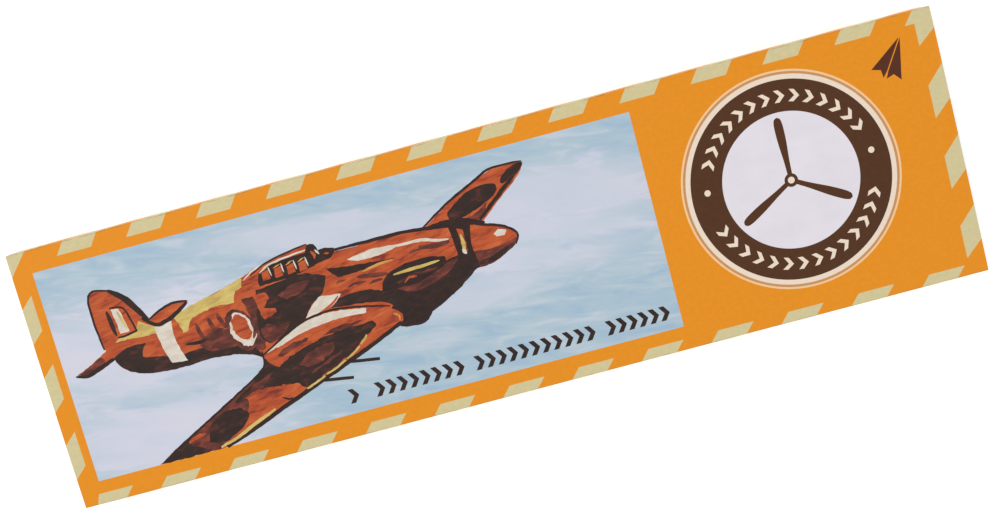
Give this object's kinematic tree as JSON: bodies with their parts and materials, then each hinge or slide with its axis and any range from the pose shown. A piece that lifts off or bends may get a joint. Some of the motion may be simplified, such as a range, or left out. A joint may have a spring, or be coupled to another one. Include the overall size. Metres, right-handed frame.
{
  "type": "packaged balsa hand glider",
  "caption": "Flat printed card sleeve, open at one end, holding an unassembled balsa hand glider: wing, fuselage, tail, nose clip and spinning propeller.",
  "frame": {"origin": "middle of the sleeve's back panel, on its outer face", "axes": "+X along the sleeve towards its open end, +Y towards the top edge of the print, +Z out of the printed face"},
  "size_m": [0.21, 0.06, 0.008],
  "materials": {
    "printed_card": "orange litho print on smooth white board, satin",
    "back_card": "orange litho print on smooth white board, satin",
    "bare_card": "unprinted inner side of the board, matt",
    "balsa": "sanded balsa sheet with a fine straight grain",
    "moulding": "dark brown injection moulding",
    "steel": "drawn steel wire",
    "brass": "turned brass"
  },
  "bodies": {
    "sleeve": {"front_panel": "printed_card", "back_panel": "back_card", "top_wall": "printed_card", "bottom_wall": "printed_card", "seam_flap": "bare_card", "end_panel": "printed_card", "tuck_tab": "bare_card", "dust_flap_top": "bare_card", "dust_flap_bottom": "bare_card"},
    "wing": {"wing": "balsa"},
    "fuselage": {"fuselage": "balsa"},
    "tailplane": {"tailplane": "balsa"},
    "fin": {"fin": "balsa"},
    "nose_clip": {"nose_clip": "moulding", "ballast_slug": "steel", "axle_pin": "steel"},
    "prop_bearing": {"hub_bush": "brass", "thrust_washer": "steel"},
    "propeller": {"propeller": "moulding", "spinner": "moulding"}
  },
  "joints": [
    {"name": "wing_slide", "type": "slide", "parent": "sleeve", "child": "wing", "axis": [1, 0, 0], "range_m": [0, 0.21]},
    {"name": "fuselage_slide", "type": "slide", "parent": "sleeve", "child": "fuselage", "axis": [1, 0, 0], "range_m": [0, 0.2]},
    {"name": "tailplane_slide", "type": "slide", "parent": "sleeve", "child": "tailplane", "axis": [1, 0, 0], "range_m": [0, 0.085]},
    {"name": "fin_slide", "type": "slide", "parent": "sleeve", "child": "fin", "axis": [1, 0, 0], "range_m": [0, 0.125]},
    {"name": "nose_clip_slide", "type": "slide", "parent": "sleeve", "child": "nose_clip", "axis": [1, 0, 0], "range_m": [0, 0.045]},
    {"name": "propeller_slide", "type": "slide", "parent": "sleeve", "child": "prop_bearing", "axis": [1, 0, 0], "range_m": [0, 0.055]},
    {"name": "propeller_spin", "type": "hinge", "parent": "prop_bearing", "child": "propeller", "pos_m": [0.0795, 0.0015, 0.0035], "axis": [0, 0, 1], "continuous": true}
  ]
}
